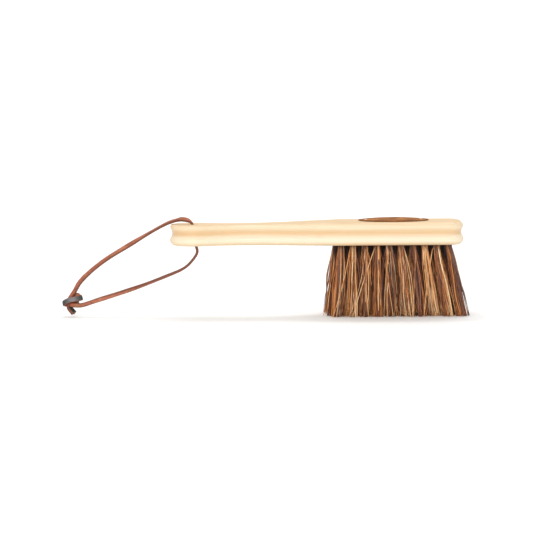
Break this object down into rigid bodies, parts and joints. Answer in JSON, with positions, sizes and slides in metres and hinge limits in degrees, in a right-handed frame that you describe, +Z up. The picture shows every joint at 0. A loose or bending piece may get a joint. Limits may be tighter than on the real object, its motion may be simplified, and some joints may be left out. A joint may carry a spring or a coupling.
{
  "type": "bee brush",
  "caption": "Hand brush for sweeping bees off a comb: waisted wooden stock with moulded edge, stiff plant-fibre tufts, leather patch and knotted leather hanging lace.",
  "frame": {"origin": "on the surface that the brush stands on with its bristle tips, at the middle of the footprint of everything but the lanyard", "axes": "+X along the stock from the handle towards the bristle head, +Z up from the bristle tips to the back of the stock, +Y to the left when looking along +X; the brush is laid out evenly about the XZ plane"},
  "size_m": [0.4045, 0.054, 0.1012],
  "materials": {
    "pale_wood": "bare planed and sanded pale wood with a faint wax sheen",
    "coir_fibre": "coarse natural brown plant fibre, matt, from dark brown to light tan strand by strand",
    "staple_wire": "drawn steel wire",
    "patch_leather": "thick vegetable-tanned leather with darker cut edge",
    "nail_metal": "bright plated nail heads",
    "lace_leather": "reddish-brown square-cut leather lace with a dark flesh side"
  },
  "bodies": {
    "brush": {"handle_stock": "pale_wood", "tuft_r1_01": "coir_fibre", "tuft_r1_02": "coir_fibre", "tuft_r1_03": "coir_fibre", "tuft_r1_04": "coir_fibre", "tuft_r1_05": "coir_fibre", "tuft_r1_06": "coir_fibre", "tuft_r1_07": "coir_fibre", "tuft_r1_08": "coir_fibre", "tuft_r1_09": "coir_fibre", "tuft_r1_10": "coir_fibre", "tuft_r2_01": "coir_fibre", "tuft_r2_02": "coir_fibre", "tuft_r2_03": "coir_fibre", "tuft_r2_04": "coir_fibre", "tuft_r2_05": "coir_fibre", "tuft_r2_06": "coir_fibre", "tuft_r2_07": "coir_fibre", "tuft_r2_08": "coir_fibre", "tuft_r2_09": "coir_fibre", "tuft_r2_10": "coir_fibre", "tuft_r3_01": "coir_fibre", "tuft_r3_02": "coir_fibre", "tuft_r3_03": "coir_fibre", "tuft_r3_04": "coir_fibre", "tuft_r3_05": "coir_fibre", "tuft_r3_06": "coir_fibre", "tuft_r3_07": "coir_fibre", "tuft_r3_08": "coir_fibre", "tuft_r3_09": "coir_fibre", "tuft_r3_10": "coir_fibre", "tuft_r4_01": "coir_fibre", "tuft_r4_02": "coir_fibre", "tuft_r4_03": "coir_fibre", "tuft_r4_04": "coir_fibre", "tuft_r4_05": "coir_fibre", "tuft_r4_06": "coir_fibre", "tuft_r4_07": "coir_fibre", "tuft_r4_08": "coir_fibre", "tuft_r4_09": "coir_fibre", "tuft_r4_10": "coir_fibre", "tuft_staples": "staple_wire", "leather_patch": "patch_leather", "patch_nails": "nail_metal"},
    "lanyard": {"lanyard_lace": "lace_leather", "lanyard_knot": "lace_leather"}
  },
  "joints": [
    {"name": "lanyard_swing", "type": "hinge", "parent": "brush", "child": "lanyard", "pos_m": [-0.1245, 0, 0.0815], "axis": [0, 0, 1], "range_deg": [-90, 90]}
  ]
}
